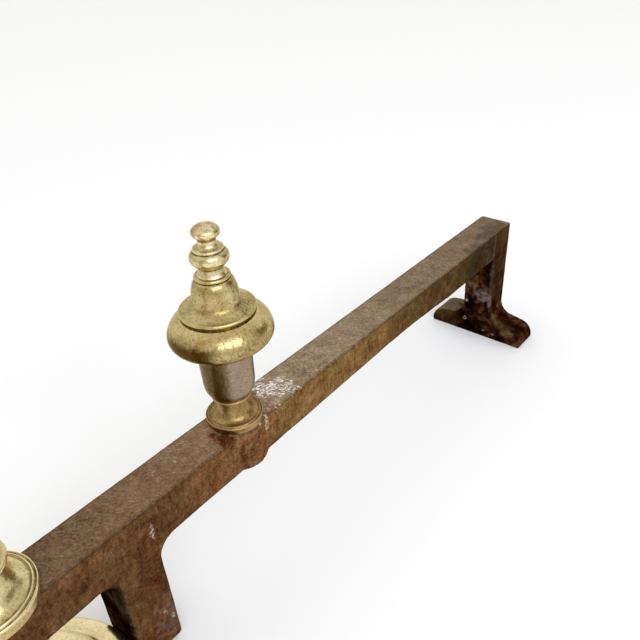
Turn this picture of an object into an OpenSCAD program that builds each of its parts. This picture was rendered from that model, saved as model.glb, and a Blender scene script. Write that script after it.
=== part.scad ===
// Andiron: an iron billet bar on a drop leg and a rear foot, with a turned brass
// log stop on the bar and a turned brass column on a round base at its front.
// +Y runs from the column to the rear foot, +Z is up, and the floor is at Z = 0.

/* [Overall] */
// Length from the front of the base to the back of the rear foot
overall_l = 538; // [500:1:600]
// Height of the bar's top above the floor
bar_top = 109.5; // [102:0.5:125]
// Distance from the column's axis back to the log stop's axis
stop_setback = 157; // [120:0.5:190]
// Size of the front's turned top against the log stop
front_scale = 1.45; // [1.25:0.01:1.6]

/* [Billet bar] */
// Width of the bar at the column
bar_w_front = 28.6; // [24:0.1:32]
// Width of the bar at the rear foot
bar_w_rear = 28.2; // [24:0.1:31]
// Depth of the bar at the column
bar_h_front = 31.2; // [28:0.1:35]
// Depth to which the bar's straight taper runs
bar_h_slim = 21.9; // [18:0.1:25]
// Distance from the column's axis back to the end of that taper
slim_setback = 334.5; // [310:0.5:350]
// Length before and behind that place over which the underside curves
haunch_l = 45; // [30:1:60]
// Depth of the bar at the rear foot
bar_h_rear = 25.3; // [22:0.1:29]
// Radius of the upright corners at the bar's rear end
bar_corner_r = 4.5; // [2:0.5:7]
// Radius of the round boss that carries the log stop
boss_r = 17; // [15.5:0.5:20]
// Depth of that boss
boss_h = 28.4; // [24:0.1:34]
// Radius of the round eye that carries the column
eye_r = 17; // [15.5:0.5:20]

/* [Drop leg] */
// Thickness of the drop leg along the bar
leg_t = 27.8; // [22:0.1:34]
// Height of the drop leg's sole above the floor
leg_lift = 2.5; // [1:0.1:5]
// Gap between the drop leg and the brass base
leg_gap = 0.4; // [0.2:0.1:2]
// Radius of the fillet behind the leg
leg_fillet_rear = 12; // [6:0.5:16]
// Radius of the fillet before the leg
leg_fillet_front = 10; // [6:0.5:14]
// Radius of the leg's lower corners
leg_toe_r = 2.5; // [1:0.5:6]

/* [Rear foot] */
// Thickness of the rear foot along the bar
foot_t = 26.2; // [20:0.1:32]
// Width of the rear foot over its two lobes
foot_w = 91; // [70:1:120]
// Height of the lobes beside the stem
lobe_h = 16.8; // [12:0.1:22]
// Height of the lobes where their rounded ends start
lobe_end_h = 15.3; // [10:0.1:18]
// Radius of the lobes' upper ends
lobe_end_r = 12.4; // [6:0.1:14]
// Radius of the fillets between stem and lobes
foot_fillet_r = 12.5; // [6:0.5:18]
// Width of the stem just above those fillets
stem_w = 26.2; // [20:0.1:28]

/* [Log stop pedestal and ring] */
// Radius of the flange under the log stop
flange_r = 17; // [15:0.1:20]
// Height of the flange
flange_h = 5.2; // [3.5:0.1:7]
// Width of the flange's rim, outside the raised line turned on it
flange_rim_w = 1.8; // [1.4:0.1:3]
// Depth of the groove between that line and the flange's edge
flange_groove = 0.5; // [0.2:0.1:0.8]
// Radius of the pedestal's neck
pedestal_neck_r = 8.8; // [7.5:0.1:11]
// Height of the pedestal
pedestal_h = 17; // [14:0.1:21]
// Radius of the thin ring above the neck
ring_r = 11.6; // [10.8:0.1:13]
// Height of the thin ring
ring_h = 2.1; // [1.2:0.1:3]

/* [Log stop cup] */
// Radius of the cup at its foot
cup_foot_r = 11; // [9:0.1:12.5]
// Radius of the cup where its side turns upright
cup_r = 14.8; // [13:0.1:18]
// Radius of the cup at its rim
cup_rim_r = 15.6; // [14:0.1:19]
// Height of the cup's rounded lower part
cup_round_h = 9.5; // [7:0.1:14]
// Height of the cup
cup_h = 33.9; // [28:0.1:40]

/* [Log stop ball] */
// Radius of the ball at its widest
ball_r = 29.2; // [26:0.1:34]
// Height of the ball
ball_h = 21; // [19:0.1:24]
// Height of the widest point above the ball's foot
ball_belt_h = 9.1; // [7.5:0.1:10.5]
// Radius at which the ball's flattened round is centred
ball_core_r = 4; // [2:0.1:8]
// Radius of the ball's foot, on the cup's rim
ball_foot_r = 15.7; // [15:0.1:18]
// Radius where the ball's round ends under the bell
ball_top_r = 21; // [20.2:0.1:22.5]

/* [Log stop bell] */
// Radius of the hollow between the ball and the bell's lip
bell_foot_r = 19.8; // [19:0.1:20.1]
// Height of that hollow
bell_foot_h = 1.3; // [0.6:0.1:2]
// Radius of the bell's lip
bell_lip_r = 21.1; // [20.4:0.1:23]
// Height of the bell's lip
bell_lip_h = 2.2; // [1.4:0.1:3]
// Radius of the bell's wall above its flare
bell_wall_r = 13.3; // [11.5:0.1:15]
// Radius of the bell's top
bell_top_r = 9.6; // [8.6:0.1:11]
// Height of the bell without its bead
bell_h = 21.1; // [17:0.1:26]
// Radius of the bead on the bell's top
bell_bead_r = 9.8; // [8.8:0.1:12]
// Height of the bead on the bell's top
bell_bead_h = 2.2; // [1.4:0.1:3.5]

/* [Log stop knop and button] */
// Radius of the neck under the knop
knop_neck_r = 6.6; // [6:0.1:8]
// Radius of the knop at its widest
knop_r = 10.4; // [9:0.1:14]
// Radius of the knop's lower edge
knop_edge_r = 8; // [7:0.1:9.5]
// Radius of the small disc on the knop
knop_disc_r = 8.2; // [7:0.1:9.5]
// Height of the knop with its neck
knop_h = 17.9; // [15:0.1:22]
// Radius of the neck under the button
button_neck_r = 4.9; // [4.5:0.1:5.6]
// Radius of the button at its widest
button_r = 7.5; // [6:0.1:10]
// Height of the button with its neck
button_h = 10.3; // [9:0.1:14]

/* [Front base] */
// Radius of the round base
base_r = 52.5; // [46:0.5:60]
// Height of the base's upright foot
base_foot_h = 4.5; // [3:0.1:7]
// Depth of the hollow moulding above the foot
base_cove = 4.5; // [2:0.1:6]
// Height of the hollow moulding
base_cove_h = 9.6; // [7:0.1:11]
// Radius of the round moulding at the base's top
base_roll_r = 5; // [4:0.1:6]
// Height of the base with its dome
base_h = 48; // [40:0.5:56]
// Radius of the dome where it leaves the round moulding
dome_r = 40; // [34:0.5:42]
// Radius of the dome's top
dome_top_r = 17; // [15:0.5:20]
// Wall of the hollow base
base_wall = 4; // [3:0.1:6]

/* [Front column] */
// Radius of the ring on the base
base_ring_r = 20.5; // [18.5:0.5:24]
// Height of the ring on the base
base_ring_h = 5.5; // [4:0.1:7]
// Radius of the lower baluster's narrow ends
baluster_neck_r = 10.5; // [9:0.1:13]
// Radius of the lower baluster's belly
baluster_r = 16; // [14:0.1:19]
// Radius of the flange under the bar's eye
baluster_flange_r = 19; // [17.5:0.1:23]
// Height of the flange under the bar's eye
baluster_flange_h = 3.6; // [2.5:0.1:5]
// Radius of the vase at its foot
vase_foot_r = 11.5; // [10:0.1:14]
// Radius of the vase at its widest
vase_r = 22.5; // [19:0.1:27]
// Radius of the vase's neck
vase_neck_r = 11; // [9.5:0.1:14]
// Height of the vase
vase_h = 74; // [60:1:100]
// Radius of the ring above the vase
collar_r = 18.5; // [16:0.1:22]
// Height of the ring above the vase
collar_h = 8; // [6:0.1:11]
// Radius of the spool's waist
spool_r = 10.5; // [9:0.1:12.5]
// Height of the spool
spool_h = 22; // [17:0.5:32]

/* [Rods and nut] */
// Radius of the stud that holds the log stop
stud_r = 3.9; // [3:0.1:4.4]
// Radius of the stud's threaded tip
stud_tip_r = 3; // [2.2:0.1:3.3]
// Length of the stud's thread inside the button
stud_tip_l = 6; // [4:0.1:7]
// Radius of the stud's peened head
stud_head_r = 6.5; // [5:0.1:8]
// Height of the stud's peened head
stud_head_h = 2.6; // [1.5:0.1:4]
// Radius of the tie rod through the column
rod_r = 5; // [4:0.1:5.8]
// Radius of the tie rod's upper thread
rod_tip_r = 4.2; // [3:0.1:4.6]
// Length of the tie rod's upper thread inside the button
rod_tip_l = 9; // [6:0.1:10]
// Clearance between a rod and its holes
rod_clearance = 0.25; // [0.1:0.05:0.5]
// Side of the square nut under the base
nut_w = 17; // [14:0.5:22]
// Height of the square nut
nut_h = 8; // [6:0.5:10]
// Radius of the washer on the nut
washer_r = 13; // [12:0.5:13.5]
// Thickness of the washer
washer_h = 3; // [2:0.5:4]
// Length of thread that shows below the nut
rod_tail = 3; // [1:0.5:6]

/* [Hidden] */
$fn = 96;

// Points along a curve or an arc
steps = 8;
// Length by which a cutter runs past what it cuts
past = 1;

// Places along the length
front_y = -overall_l / 2;
rear_y = overall_l / 2;
column_y = front_y + base_r;
stop_y = column_y + stop_setback;
leg_front_y = column_y + base_r + leg_gap;
leg_rear_y = leg_front_y + leg_t;
slim_y = column_y + slim_setback;
foot_front_y = rear_y - foot_t;

// Heights of the pieces of the log stop
ring_z = bar_top + pedestal_h;
cup_z = ring_z + ring_h;
ball_z = cup_z + cup_h;
bell_z = ball_z + ball_h;
knop_z = bell_z + bell_h + bell_bead_h;
button_z = knop_z + knop_h;

// Heights of the pieces of the front
eye_z = bar_top - bar_h_front;
baluster_z = base_h + base_ring_h;
baluster_h = eye_z - baluster_z;
bead_z = bar_top + front_scale * pedestal_h;
vase_z = bead_z + front_scale * ring_h;
collar_z = vase_z + vase_h;
spool_z = collar_z + collar_h;
top_cup_z = spool_z + spool_h;
top_ball_z = top_cup_z + front_scale * cup_h;
top_bell_z = top_ball_z + front_scale * ball_h;
top_knop_z = top_bell_z + front_scale * (bell_h + bell_bead_h);
top_button_z = top_knop_z + front_scale * knop_h;
washer_z = base_h - base_wall - washer_h;
nut_z = washer_z - nut_h;

brass = "#a8914e";
iron = "#6b5648";
dark_iron = "#4a443e";

// Points of an arc from angle a0 to angle a1
function arc(centre, r, a0, a1) = [
  for (i = [0:steps])
    let (a = a0 + (a1 - a0) * i / steps)
      centre + r * [cos(a), sin(a)]
];

// Points of a smooth curve from p0 to p2 that is drawn towards p1
function bend(p0, p1, p2) = [
  for (i = [0:steps])
    let (t = i / steps)
      (1 - t) * (1 - t) * p0 + 2 * t * (1 - t) * p1 + t * t * p2
];

// Points of a flattened round from angle a0, below its widest point, to angle a1 above it
function flat_round(centre, w, low_h, high_h, a0, a1) = [
  for (i = [0:2 * steps])
    let (a = a0 + (a1 - a0) * i / (2 * steps))
      centre + [w * cos(a), (a < 0 ? low_h : high_h) * sin(a)]
];

// Points of a half-round edge of radius r whose outermost point is at radius r_out
function half_round(r_out, z, r) = arc([r_out - r, z + r], r, -90, 90);

// Height of the bar's underside at a place along its straight taper
function under_z(y) =
  bar_top - bar_h_front + (bar_h_front - bar_h_slim) * (y - column_y) / slim_setback;

// The bar's underside behind the taper, where it deepens again towards the rear foot
function haunch() =
  let (foot_z = bar_top - bar_h_rear)
    concat(
      bend([slim_y - haunch_l, under_z(slim_y - haunch_l)], [slim_y, under_z(slim_y)],
        [slim_y + haunch_l, foot_z]),
      [[rear_y, foot_z]]
    );

// Outlines of the turned pieces: radius, then height above the piece's own foot
function pedestal_outline() =
  let (line_r = flange_r - flange_rim_w)
    concat(
      [[0, 0], [flange_r - 0.5, 0]],
      bend([flange_r, 0.7 * flange_h], [flange_r, 0.88 * flange_h],
        [flange_r - 0.28 * flange_rim_w, 0.9 * flange_h]),
      [[flange_r - 0.5 * flange_rim_w, 0.9 * flange_h - flange_groove]],
      bend([line_r + 0.3 * flange_rim_w, 0.92 * flange_h], [line_r + 0.15 * flange_rim_w, flange_h],
        [line_r, flange_h]),
      [[line_r - 0.3, flange_h - 0.5]],
      bend([line_r - 0.9, flange_h - 0.2], [pedestal_neck_r + 0.6, flange_h + 1],
        [pedestal_neck_r, pedestal_h - 1.2]),
      [[pedestal_neck_r + 0.2, pedestal_h], [0, pedestal_h]]
    );

function ring_outline(r, h) = concat([[0, 0]], half_round(r, 0, h / 2), [[0, h]]);

function cup_outline() = concat(
  [[0, 0], [cup_foot_r, 0]],
  bend([cup_foot_r, 0.4], [cup_r - 0.3, 0.34 * cup_round_h], [cup_r, cup_round_h]),
  [[cup_rim_r, cup_h], [0, cup_h]]
);

function ball_outline() =
  let (
    w = ball_r - ball_core_r,
    foot_a = acos((ball_foot_r - ball_core_r) / w),
    top_a = acos((ball_top_r - ball_core_r) / w),
    low_h = ball_belt_h / sin(foot_a),
    high_h = (ball_h - ball_belt_h) / sin(top_a)
  )
    concat(
      [[0, 0]],
      flat_round([ball_core_r, ball_belt_h], w, low_h, high_h, -foot_a, top_a),
      [[0, ball_h]]
    );

function bell_outline() = concat(
  [[0, 0], [bell_foot_r, 0], [bell_foot_r, bell_foot_h]],
  arc([bell_lip_r - bell_lip_h / 2, bell_foot_h + bell_lip_h / 2], bell_lip_h / 2, -60, 90),
  bend([bell_lip_r - 1.4, bell_foot_h + bell_lip_h], [bell_wall_r + 0.9, 0.24 * bell_h],
    [bell_wall_r, 0.4 * bell_h]),
  bend([bell_wall_r - 0.5, 0.53 * bell_h], [bell_top_r + 2.4, 0.92 * bell_h],
    [bell_top_r - 0.4, bell_h]),
  arc([bell_bead_r - bell_bead_h / 2, bell_h + bell_bead_h / 2], bell_bead_h / 2, -80, 90),
  [[0, bell_h + bell_bead_h]]
);

function knop_outline() = concat(
  [[0, 0]],
  bend([knop_neck_r + 1.4, 0], [knop_neck_r - 0.8, 0.2 * knop_h],
    [knop_neck_r + 0.6, 0.29 * knop_h]),
  [[knop_edge_r, 0.3 * knop_h]],
  bend([knop_edge_r + 0.2, 0.33 * knop_h], [knop_r + 0.3, 0.44 * knop_h], [knop_r, 0.57 * knop_h]),
  bend([knop_r, 0.58 * knop_h], [knop_r - 0.3, 0.7 * knop_h], [knop_disc_r - 0.4, 0.77 * knop_h]),
  [[knop_disc_r, 0.79 * knop_h], [knop_disc_r, 0.84 * knop_h]],
  bend([knop_disc_r - 0.6, 0.86 * knop_h], [button_neck_r + 0.5, 0.89 * knop_h],
    [button_neck_r, knop_h]),
  [[0, knop_h]]
);

function button_outline() = concat(
  [[0, 0], [button_neck_r, 0]],
  bend([button_neck_r, 0.16 * button_h], [button_neck_r, 0.22 * button_h],
    [button_r - 1, 0.36 * button_h]),
  bend([button_r - 0.6, 0.4 * button_h], [button_r + 0.5, 0.57 * button_h],
    [button_r - 0.5, 0.7 * button_h]),
  bend([button_r - 0.7, 0.73 * button_h], [0.55 * button_r, button_h], [0, button_h])
);

function base_outline() =
  let (
    cove_top = base_foot_h + base_cove_h,
    roll_top = cove_top + 2 * base_roll_r,
    ledge_z = roll_top - 1.5
  )
    concat(
      [[0, 0], [base_r, 0], [base_r, base_foot_h]],
      bend([base_r - 1.2, base_foot_h], [base_r - base_cove - 1.5, base_foot_h + 1],
        [base_r - base_cove, cove_top]),
      arc([base_r - base_roll_r, cove_top + base_roll_r], base_roll_r, -75, 100),
      [[dome_r + 1, ledge_z]],
      bend([dome_r, ledge_z + 1], [dome_r - 3, base_h - 11], [0.5 * (dome_r + dome_top_r), base_h - 9]),
      bend([0.5 * (dome_r + dome_top_r), base_h - 9], [dome_top_r + 3, base_h - 8],
        [dome_top_r, base_h]),
      [[0, base_h]]
    );

function base_hollow() =
  let (
    rim_r = base_r - base_cove - 1.5 - base_wall,
    rim_h = base_foot_h + base_cove_h
  )
    [
      [0, -past],
      [rim_r, -past],
      [rim_r, rim_h],
      [0.5 * (dome_r + dome_top_r) - base_wall, base_h - 9 - 2 * base_wall],
      [dome_top_r - base_wall + 1, base_h - base_wall],
      [0, base_h - base_wall]
    ];

function baluster_outline() =
  let (top_z = baluster_h - baluster_flange_h)
    concat(
      [[0, 0]],
      bend([baluster_neck_r + 4, 0], [baluster_neck_r - 1, 0.08 * top_z],
        [baluster_neck_r + 0.5, 0.22 * top_z]),
      bend([baluster_neck_r + 1, 0.24 * top_z], [baluster_r + 4, 0.5 * top_z],
        [baluster_neck_r + 1, 0.78 * top_z]),
      bend([baluster_neck_r + 0.5, 0.8 * top_z], [baluster_neck_r, 0.95 * top_z],
        [baluster_flange_r - 3, top_z]),
      half_round(baluster_flange_r, top_z, baluster_flange_h / 2),
      [[0, baluster_h]]
    );

function vase_outline() = concat(
  [[0, 0], [vase_foot_r + 2, 0], [vase_foot_r + 2, 2]],
  bend([vase_foot_r, 3], [vase_foot_r + 0.5, 0.3 * vase_h], [vase_r - 2, 0.62 * vase_h]),
  bend([vase_r - 1.6, 0.65 * vase_h], [vase_r + 3, 0.82 * vase_h], [vase_neck_r + 4, 0.9 * vase_h]),
  bend([vase_neck_r + 3, 0.91 * vase_h], [vase_neck_r - 1, 0.92 * vase_h], [vase_neck_r, vase_h]),
  [[0, vase_h]]
);

function collar_outline() =
  let (fillet_h = 0.18 * collar_h)
    concat(
      [[0, 0], [collar_r - 3, 0], [collar_r - 3, fillet_h]],
      half_round(collar_r, fillet_h, collar_h / 2 - fillet_h),
      [[collar_r - 3, collar_h - fillet_h], [collar_r - 3, collar_h], [0, collar_h]]
    );

function spool_outline() = concat(
  [[0, 0], [spool_r + 4, 0]],
  bend([spool_r + 4, 1.5], [spool_r - 1, 0.15 * spool_h], [spool_r, 0.6 * spool_h]),
  bend([spool_r, 0.62 * spool_h], [spool_r + 0.4, 0.9 * spool_h], [spool_r + 2.6, spool_h]),
  [[0, spool_h]]
);

// A turned piece on an upright axis at place y, its foot at height z, bored for a rod
module turned(outline, y, z, k, hole_r) {
  translate([0, y, 0])
    difference() {
      translate([0, 0, z])
        rotate_extrude()
          polygon([for (p = outline) k * p]);
      cylinder(h = top_button_z + button_h, r = hole_r);
    }
}

// A turned cap that closes a rod's threaded tip
module turned_cap(outline, y, z, k, hole_r, hole_l) {
  translate([0, y, z])
    difference() {
      rotate_extrude()
        polygon([for (p = outline) k * p]);
      translate([0, 0, -past])
        cylinder(h = hole_l + past, r = hole_r);
    }
}

module stop_piece(outline, z)
  turned(outline, stop_y, z, 1, stud_r + rod_clearance);

module column_piece(outline, z, k = 1)
  turned(outline, column_y, z, k, rod_r + rod_clearance);

// The bar and the drop leg seen from the side
module bar_side() {
  rear_fillet_y = leg_rear_y + leg_fillet_rear;
  front_fillet_y = leg_front_y - leg_fillet_front;
  polygon(concat(
    [[column_y, bar_top], [column_y, eye_z]],
    arc([front_fillet_y, under_z(front_fillet_y) - leg_fillet_front], leg_fillet_front, 90, 0),
    arc([leg_front_y + leg_toe_r, leg_lift + leg_toe_r], leg_toe_r, 180, 270),
    arc([leg_rear_y - leg_toe_r, leg_lift + leg_toe_r], leg_toe_r, 270, 360),
    arc([rear_fillet_y, under_z(rear_fillet_y) - leg_fillet_rear], leg_fillet_rear, 180, 90),
    haunch(),
    [[rear_y, bar_top]]
  ));
}

// The bar seen from above, with its rounded rear corners
module bar_plan(corner_r) {
  half_front = bar_w_front / 2;
  half_rear = bar_w_rear / 2;
  polygon(concat(
    [[-half_front, column_y], [half_front, column_y]],
    arc([half_rear - corner_r, rear_y - corner_r], corner_r, 0, 90),
    arc([corner_r - half_rear, rear_y - corner_r], corner_r, 90, 180)
  ));
}

// One half of the rear foot seen from the front
function foot_half() =
  let (
    half_w = foot_w / 2,
    fillet_x = stem_w / 2 + foot_fillet_r,
    end_x = half_w - lobe_end_r,
    end_z = lobe_end_h - lobe_end_r
  )
    concat(
      [[bar_w_rear / 2, bar_top], [stem_w / 2, lobe_h + foot_fillet_r]],
      arc([fillet_x, lobe_h + foot_fillet_r], foot_fillet_r, 180, 268),
      arc([end_x, end_z], lobe_end_r, 86, 0),
      [[half_w, 0]]
    );

module foot_outline() {
  half = foot_half();
  count = len(half);
  polygon(concat(half, [for (i = [count - 1:-1:0]) [-half[i][0], half[i][1]]]));
}

module billet_casting() {
  color(iron)
    difference() {
      union() {
        intersection() {
          rotate([90, 0, 90])
            linear_extrude(bar_w_front + 2 * past, center = true)
              bar_side();
          linear_extrude(bar_top + past)
            bar_plan(bar_corner_r);
        }
        translate([0, stop_y, bar_top - boss_h])
          cylinder(h = boss_h, r = boss_r);
        translate([0, column_y, eye_z])
          cylinder(h = bar_h_front, r = eye_r);
        rear_foot();
      }
      translate([0, stop_y, 0])
        cylinder(h = bar_top + past, r = stud_r + rod_clearance);
      translate([0, stop_y, bar_top - boss_h - past])
        cylinder(h = stud_head_h + past, r = stud_head_r + rod_clearance);
      translate([0, column_y, eye_z - past])
        cylinder(h = bar_h_front + 2 * past, r = rod_r + rod_clearance);
    }
}

// The inverted T under the bar's rear end
module rear_foot() {
  stem_z = lobe_h + foot_fillet_r;
  translate([0, rear_y, 0])
    rotate([90, 0, 0])
      linear_extrude(foot_t)
        intersection() {
          foot_outline();
          translate([-foot_w / 2, 0])
            square([foot_w, stem_z]);
        }
  intersection() {
    translate([0, rear_y, 0])
      rotate([90, 0, 0])
        linear_extrude(foot_t)
          foot_outline();
    translate([0, 0, stem_z - past])
      linear_extrude(bar_top - stem_z + past)
        bar_plan(bar_corner_r / 2);
  }
}

// Iron stud: peened into the boss from below, threaded into the button above
module log_stop_stud() {
  tip_z = button_z;
  head_z = bar_top - boss_h;
  color(dark_iron)
    translate([0, stop_y, 0]) {
      translate([0, 0, head_z])
        cylinder(h = stud_head_h, r = stud_head_r);
      translate([0, 0, head_z])
        cylinder(h = tip_z - head_z, r = stud_r);
      translate([0, 0, tip_z])
        cylinder(h = stud_tip_l, r = stud_tip_r);
    }
}

module log_stop_pedestal()
  color(brass) stop_piece(pedestal_outline(), bar_top);

module log_stop_ring()
  color(brass) stop_piece(ring_outline(ring_r, ring_h), ring_z);

module log_stop_cup()
  color(brass) stop_piece(cup_outline(), cup_z);

module log_stop_ball()
  color(brass) stop_piece(ball_outline(), ball_z);

module log_stop_bell()
  color(brass) stop_piece(bell_outline(), bell_z);

module log_stop_knop()
  color(brass) stop_piece(knop_outline(), knop_z);

module log_stop_button()
  color(brass)
    turned_cap(button_outline(), stop_y, button_z, 1, stud_tip_r + rod_clearance,
      stud_tip_l + rod_clearance);

// Hollow round base that stands on the floor
module front_base() {
  color(brass)
    translate([0, column_y, 0])
      difference() {
        rotate_extrude()
          polygon(base_outline());
        rotate_extrude()
          polygon(base_hollow());
        cylinder(h = base_h + past, r = rod_r + rod_clearance);
      }
}

module base_ring()
  color(brass) column_piece(ring_outline(base_ring_r, base_ring_h), base_h);

module lower_baluster()
  color(brass) column_piece(baluster_outline(), baluster_z);

module column_pedestal()
  color(brass) column_piece(pedestal_outline(), bar_top, front_scale);

module column_bead()
  color(brass) column_piece(ring_outline(ring_r, ring_h), bead_z, front_scale);

module column_vase()
  color(brass) column_piece(vase_outline(), vase_z);

module column_collar()
  color(brass) column_piece(collar_outline(), collar_z);

module column_spool()
  color(brass) column_piece(spool_outline(), spool_z);

module column_cup()
  color(brass) column_piece(cup_outline(), top_cup_z, front_scale);

module column_ball()
  color(brass) column_piece(ball_outline(), top_ball_z, front_scale);

module column_bell()
  color(brass) column_piece(bell_outline(), top_bell_z, front_scale);

module column_knop()
  color(brass) column_piece(knop_outline(), top_knop_z, front_scale);

module column_button()
  color(brass)
    turned_cap(button_outline(), column_y, top_button_z, front_scale,
      rod_tip_r + rod_clearance, rod_tip_l + rod_clearance);

// Iron rod that clamps base, bar eye and column together
module tie_rod() {
  foot_z = nut_z - rod_tail;
  color(dark_iron)
    translate([0, column_y, 0]) {
      translate([0, 0, foot_z])
        cylinder(h = top_button_z - foot_z, r = rod_r);
      translate([0, 0, top_button_z])
        cylinder(h = rod_tip_l, r = rod_tip_r);
    }
}

module tie_rod_nut() {
  color(dark_iron)
    translate([0, column_y, nut_z])
      difference() {
        translate([-nut_w / 2, -nut_w / 2, 0])
          cube([nut_w, nut_w, nut_h]);
        translate([0, 0, -past])
          cylinder(h = nut_h + 2 * past, r = rod_r + rod_clearance);
      }
}

module tie_rod_washer() {
  color(dark_iron)
    translate([0, column_y, washer_z])
      difference() {
        cylinder(h = washer_h, r = washer_r);
        translate([0, 0, -past])
          cylinder(h = washer_h + 2 * past, r = rod_r + rod_clearance);
      }
}

billet_casting();
log_stop_stud();
log_stop_pedestal();
log_stop_ring();
log_stop_cup();
log_stop_ball();
log_stop_bell();
log_stop_knop();
log_stop_button();
front_base();
base_ring();
lower_baluster();
column_pedestal();
column_bead();
column_vase();
column_collar();
column_spool();
column_cup();
column_ball();
column_bell();
column_knop();
column_button();
tie_rod();
tie_rod_nut();
tie_rod_washer();
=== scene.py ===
import math

import bpy
from mathutils import Matrix, Vector, noise


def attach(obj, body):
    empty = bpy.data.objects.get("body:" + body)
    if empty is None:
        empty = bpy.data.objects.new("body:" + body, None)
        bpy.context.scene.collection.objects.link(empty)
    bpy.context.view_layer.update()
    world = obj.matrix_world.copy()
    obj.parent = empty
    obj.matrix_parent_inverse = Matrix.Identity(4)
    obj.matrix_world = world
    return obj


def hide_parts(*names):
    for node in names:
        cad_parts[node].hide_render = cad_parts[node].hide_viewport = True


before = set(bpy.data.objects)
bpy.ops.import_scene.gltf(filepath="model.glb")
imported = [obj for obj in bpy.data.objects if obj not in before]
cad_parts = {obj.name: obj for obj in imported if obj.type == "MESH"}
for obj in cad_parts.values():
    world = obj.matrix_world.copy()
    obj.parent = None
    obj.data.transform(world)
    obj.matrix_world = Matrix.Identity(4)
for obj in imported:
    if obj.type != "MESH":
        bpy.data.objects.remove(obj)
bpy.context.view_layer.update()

# Sizes and places are in millimetres unless a comment says otherwise; MM turns them into metres.
MM = 0.001
ROOT = "root"

# Places along the andiron (y) and above the hearth (z), as in the part's source
COLUMN_Y = -216.5
LEG_FRONT_Y = -163.6
STOP_Y = -59.5
FOOT_FRONT_Y = 242.8
BAR_TOP = 109.5
CUP_FOOT = 128.6
CUP_TOP = 162.5
BALL_BELT = 171.6
BALL_TOP = 183.5
# The column repeats the log stop's pieces at this scale.
FRONT_SCALE = 1.45


# ---------------------------------------------------------------- node helpers

def add_node(tree, kind, values=None, **settings):
    """Adds a node with its settings, and constants or links for its inputs."""
    made = tree.nodes.new(kind)
    for name, value in settings.items():
        setattr(made, name, value)
    for name, value in (values or {}).items():
        socket = made.inputs[name]
        if isinstance(value, bpy.types.NodeSocket):
            tree.links.new(value, socket)
        else:
            socket.default_value = value
    return made


def math_node(tree, operation, first, second=0.0, clamp=False):
    """One sum on two values or links."""
    made = add_node(
        tree, "ShaderNodeMath", {0: first, 1: second}, operation=operation, use_clamp=clamp
    )
    return made.outputs[0]


def times(tree, first, second, clamp=False):
    """The product of two values or links."""
    return math_node(tree, "MULTIPLY", first, second, clamp=clamp)


def step_between(tree, value, low, high):
    """0 below low, 1 above high, smooth between."""
    made = add_node(
        tree,
        "ShaderNodeMapRange",
        {"Value": value, "From Min": low, "From Max": high},
        interpolation_type="SMOOTHSTEP",
    )
    return made.outputs["Result"]


def mix_colour(tree, factor, first, second, blend="MIX"):
    """The first colour at factor 0, the second at factor 1."""
    made = tree.nodes.new("ShaderNodeMix")
    made.data_type = "RGBA"
    made.blend_type = blend
    for index, value in ((0, factor), (6, first), (7, second)):
        socket = made.inputs[index]
        if isinstance(value, bpy.types.NodeSocket):
            tree.links.new(value, socket)
        elif index == 0:
            socket.default_value = value
        else:
            socket.default_value = (*value, 1.0)
    return made.outputs[2]


def mix_value(tree, factor, first, second):
    """The first value at factor 0, the second at factor 1."""
    made = tree.nodes.new("ShaderNodeMix")
    made.data_type = "FLOAT"
    for index, value in ((0, factor), (2, first), (3, second)):
        socket = made.inputs[index]
        if isinstance(value, bpy.types.NodeSocket):
            tree.links.new(value, socket)
        else:
            socket.default_value = value
    return made.outputs[0]


def ramp(tree, value, stops):
    """A run of colours along a value: each stop is a position and a colour."""
    made = tree.nodes.new("ShaderNodeValToRGB")
    marks = made.color_ramp.elements
    while len(marks) < len(stops):
        marks.new(0.5)
    for mark, (position, colour) in zip(marks, stops):
        mark.position = position
        mark.color = (*colour, 1.0)
    tree.links.new(value, made.inputs["Fac"])
    return made.outputs["Color"]


def sum_of(tree, parts):
    """0.5 plus each grain's own swing about 0.5, times its weight."""
    total = 0.5
    for value, weight in parts:
        swing = times(tree, math_node(tree, "SUBTRACT", value, 0.5), weight)
        total = math_node(tree, "ADD", swing, total)
    return total


def shaded(tree, colour, tone):
    """A colour made lighter or darker by a value."""
    made = add_node(tree, "ShaderNodeVectorMath", {0: colour, "Scale": tone}, operation="SCALE")
    return made.outputs["Vector"]


def grain(tree, place, per_metre, detail=4.0, roughness=0.55, distortion=0.0):
    """Noise with so many lumps to a metre."""
    made = add_node(
        tree,
        "ShaderNodeTexNoise",
        {
            "Vector": place,
            "Scale": per_metre,
            "Detail": detail,
            "Roughness": roughness,
            "Distortion": distortion,
        },
    )
    return made.outputs["Fac"]


def mask(tree, name):
    """A value kept on the mesh's points."""
    return add_node(tree, "ShaderNodeAttribute", attribute_name=name).outputs["Fac"]


def new_material(name):
    """An empty material with its Principled shader."""
    material = bpy.data.materials.new(name)
    material.use_nodes = True
    tree = material.node_tree
    tree.nodes.clear()
    output = tree.nodes.new("ShaderNodeOutputMaterial")
    shader = tree.nodes.new("ShaderNodeBsdfPrincipled")
    tree.links.new(shader.outputs[0], output.inputs["Surface"])
    return material, tree, shader


def object_place(tree, stretch=(1.0, 1.0, 1.0), turn=0.0):
    """Object coordinates, turned about the upright axis (degrees) and stretched."""
    coords = tree.nodes.new("ShaderNodeTexCoord").outputs["Object"]
    turned = add_node(
        tree, "ShaderNodeMapping", {"Vector": coords, "Rotation": (0.0, 0.0, math.radians(turn))}
    ).outputs["Vector"]
    return add_node(
        tree, "ShaderNodeMapping", {"Vector": turned, "Scale": stretch}
    ).outputs["Vector"]


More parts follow.
